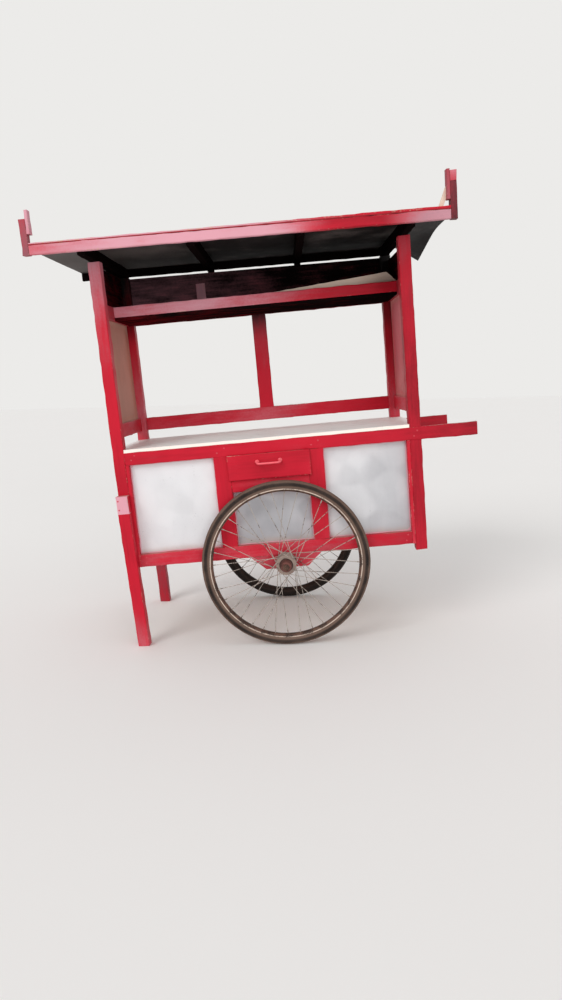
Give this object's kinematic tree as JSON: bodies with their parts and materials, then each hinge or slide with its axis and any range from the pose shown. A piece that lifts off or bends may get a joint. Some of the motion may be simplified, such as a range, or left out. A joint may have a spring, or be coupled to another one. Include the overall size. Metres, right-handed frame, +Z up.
{
  "type": "food cart",
  "caption": "Wooden street food cart on wire wheels and legs, with a panelled cabinet, counter, drawer, shelf, end panes, push handles and a flat roof.",
  "frame": {"origin": "on the floor, under the centre of the cart's box", "axes": "+X from the leg end to the handle end, -Y towards the seller's side, +Z up"},
  "size_m": [1.7696, 0.9006, 1.8652],
  "materials": {
    "red_paint": "worn gloss paint on sawn timber",
    "faded_paint": "sun-faded paint on sawn timber",
    "bare_wood": "bare sawn timber",
    "counter": "scuffed pale paint on board",
    "white_sheet": "scuffed white paint on sheet",
    "roof_sheet": "dull painted sheet",
    "dusty_pane": "dusty flat pane",
    "tyre": "dusty rubber",
    "rusty_steel": "rusty steel",
    "dull_steel": "dull worn steel"
  },
  "bodies": {
    "cart": {"axle": "rusty_steel", "axle_boards": "red_paint", "axle_nuts": "rusty_steel", "back_batten": "faded_paint", "bottom_rail_far": "red_paint", "bottom_rail_near": "red_paint", "cabinet_floor": "bare_wood", "corner_block": "red_paint", "corner_cleats": "faded_paint", "corner_stick": "bare_wood", "corner_strips": "faded_paint", "drawer_rail": "red_paint", "drawer_runners": "bare_wood", "end_rails": "red_paint", "fascia_back": "red_paint", "fascia_front": "faded_paint", "leg_far": "red_paint", "leg_near": "red_paint", "loose_batten": "bare_wood", "pane_left": "dusty_pane", "pane_right": "dusty_pane", "panel_near_left": "white_sheet", "panel_near_middle": "white_sheet", "panel_near_right": "white_sheet", "panels_end": "white_sheet", "panels_far": "white_sheet", "post_battens_far": "red_paint", "post_battens_near": "red_paint", "post_far_left": "red_paint", "post_far_right": "red_paint", "post_near_left": "red_paint", "post_near_right": "red_paint", "rafters": "red_paint", "roof_edge_strip": "faded_paint", "roof_sheet": "roof_sheet", "shelf_beam": "red_paint", "shelf_board": "red_paint", "shelf_rails_end": "red_paint", "stiles_far": "red_paint", "stiles_near": "red_paint", "tabletop": "counter", "top_rail_far": "red_paint", "top_rail_near": "red_paint", "upper_panel_far": "white_sheet", "upper_panels_end": "white_sheet", "window_head_far": "red_paint", "window_rail_far": "red_paint", "window_rails_end": "red_paint", "window_stile_far": "red_paint"},
    "wheel_near": {"tyre_near": "tyre", "rim_near": "rusty_steel", "hub_near": "rusty_steel", "spokes_near": "rusty_steel"},
    "wheel_far": {"tyre_far": "tyre", "rim_far": "rusty_steel", "hub_far": "rusty_steel", "spokes_far": "rusty_steel"},
    "drawer": {"drawer_front": "red_paint", "drawer_box": "bare_wood", "drawer_pull": "dull_steel"}
  },
  "joints": [
    {"name": "wheel_near_spin", "type": "hinge", "parent": "cart", "child": "wheel_near", "pos_m": [0.07626, -0.30121, 0.356], "axis": [0, 1, 0], "continuous": true},
    {"name": "wheel_far_spin", "type": "hinge", "parent": "cart", "child": "wheel_far", "pos_m": [0.07626, 0.37879, 0.356], "axis": [0, 1, 0], "continuous": true},
    {"name": "drawer_slide", "type": "slide", "parent": "cart", "child": "drawer", "axis": [0, -1, 0], "range_m": [0, 0.25]}
  ]
}
